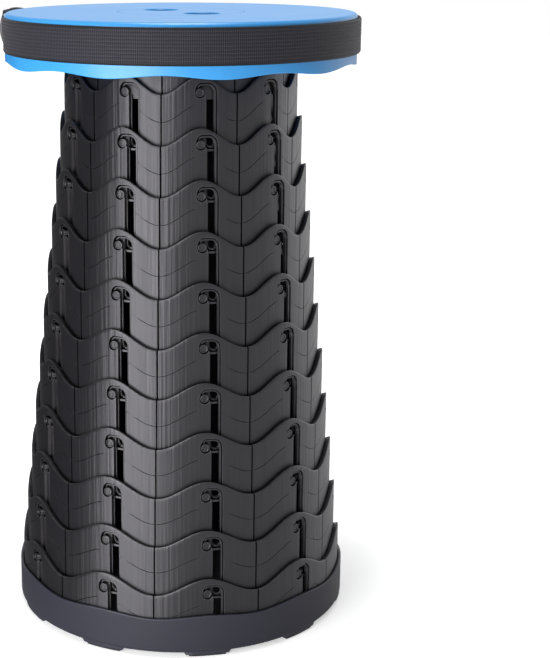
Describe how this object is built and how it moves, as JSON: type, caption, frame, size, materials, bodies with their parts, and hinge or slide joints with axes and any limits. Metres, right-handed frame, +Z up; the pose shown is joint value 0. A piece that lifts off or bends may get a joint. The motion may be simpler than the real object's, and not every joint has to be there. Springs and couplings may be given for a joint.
{
  "type": "telescopic stool",
  "caption": "Round stool that closes flat: nested wavy rings hang on each other by lugs in J-shaped slots, under a round seat with finger holes and a webbing carrying loop.",
  "frame": {"origin": "on the floor under the middle of the base", "axes": "+Z up along the column; -Y is the side that faces the camera in the picture, and the carrying loop hangs at +Y"},
  "size_m": [0.2646, 0.266, 0.45],
  "materials": {
    "seat_plastic": "fine grained, light blue",
    "ring_plastic": "smooth, soft sheen, black",
    "base_plastic": "satin, dark slate",
    "webbing": "ribbed woven webbing, charcoal",
    "rubber": "matt, black",
    "steel": "plain"
  },
  "bodies": {
    "base": {"base_cup": "base_plastic", "foot_pad_01": "rubber", "foot_pad_02": "rubber", "foot_pad_03": "rubber", "foot_pad_04": "rubber", "foot_pad_05": "rubber", "foot_pad_06": "rubber", "foot_pad_07": "rubber", "foot_pad_08": "rubber", "foot_pad_09": "rubber", "foot_pad_10": "rubber", "ring_12": "ring_plastic"},
    "ring_11": {"ring_11": "ring_plastic"},
    "ring_10": {"ring_10": "ring_plastic"},
    "ring_09": {"ring_09": "ring_plastic"},
    "ring_08": {"ring_08": "ring_plastic"},
    "ring_07": {"ring_07": "ring_plastic"},
    "ring_06": {"ring_06": "ring_plastic"},
    "ring_05": {"ring_05": "ring_plastic"},
    "ring_04": {"ring_04": "ring_plastic"},
    "ring_03": {"ring_03": "ring_plastic"},
    "ring_02": {"ring_02": "ring_plastic"},
    "seat": {"ring_01": "ring_plastic", "seat_cover": "seat_plastic", "seat_cap": "seat_plastic", "seat_screw_01": "steel", "seat_screw_02": "steel", "seat_screw_03": "steel", "seat_screw_04": "steel", "strap_band": "webbing", "strap_slider": "ring_plastic", "strap_wrap_right": "webbing", "strap_wrap_left": "webbing"},
    "handle": {"carry_handle": "webbing"}
  },
  "joints": [
    {"name": "ring_11_slide", "type": "slide", "parent": "base", "child": "ring_11", "axis": [0, 0, 1], "range_m": [-0.0353, 0]},
    {"name": "ring_10_slide", "type": "slide", "parent": "ring_11", "child": "ring_10", "axis": [0, 0, 1], "range_m": [-0.0353, 0]},
    {"name": "ring_09_slide", "type": "slide", "parent": "ring_10", "child": "ring_09", "axis": [0, 0, 1], "range_m": [-0.0353, 0]},
    {"name": "ring_08_slide", "type": "slide", "parent": "ring_09", "child": "ring_08", "axis": [0, 0, 1], "range_m": [-0.0353, 0]},
    {"name": "ring_07_slide", "type": "slide", "parent": "ring_08", "child": "ring_07", "axis": [0, 0, 1], "range_m": [-0.0353, 0]},
    {"name": "ring_06_slide", "type": "slide", "parent": "ring_07", "child": "ring_06", "axis": [0, 0, 1], "range_m": [-0.0353, 0]},
    {"name": "ring_05_slide", "type": "slide", "parent": "ring_06", "child": "ring_05", "axis": [0, 0, 1], "range_m": [-0.0353, 0]},
    {"name": "ring_04_slide", "type": "slide", "parent": "ring_05", "child": "ring_04", "axis": [0, 0, 1], "range_m": [-0.0353, 0]},
    {"name": "ring_03_slide", "type": "slide", "parent": "ring_04", "child": "ring_03", "axis": [0, 0, 1], "range_m": [-0.0353, 0]},
    {"name": "ring_02_slide", "type": "slide", "parent": "ring_03", "child": "ring_02", "axis": [0, 0, 1], "range_m": [-0.0353, 0]},
    {"name": "seat_slide", "type": "slide", "parent": "ring_02", "child": "seat", "axis": [0, 0, 1], "range_m": [-0.0353, 0]},
    {"name": "handle_hinge", "type": "hinge", "parent": "seat", "child": "handle", "pos_m": [0, 0.13013, 0.4345], "axis": [-1, 0, 0], "range_deg": [-150, 0]}
  ]
}
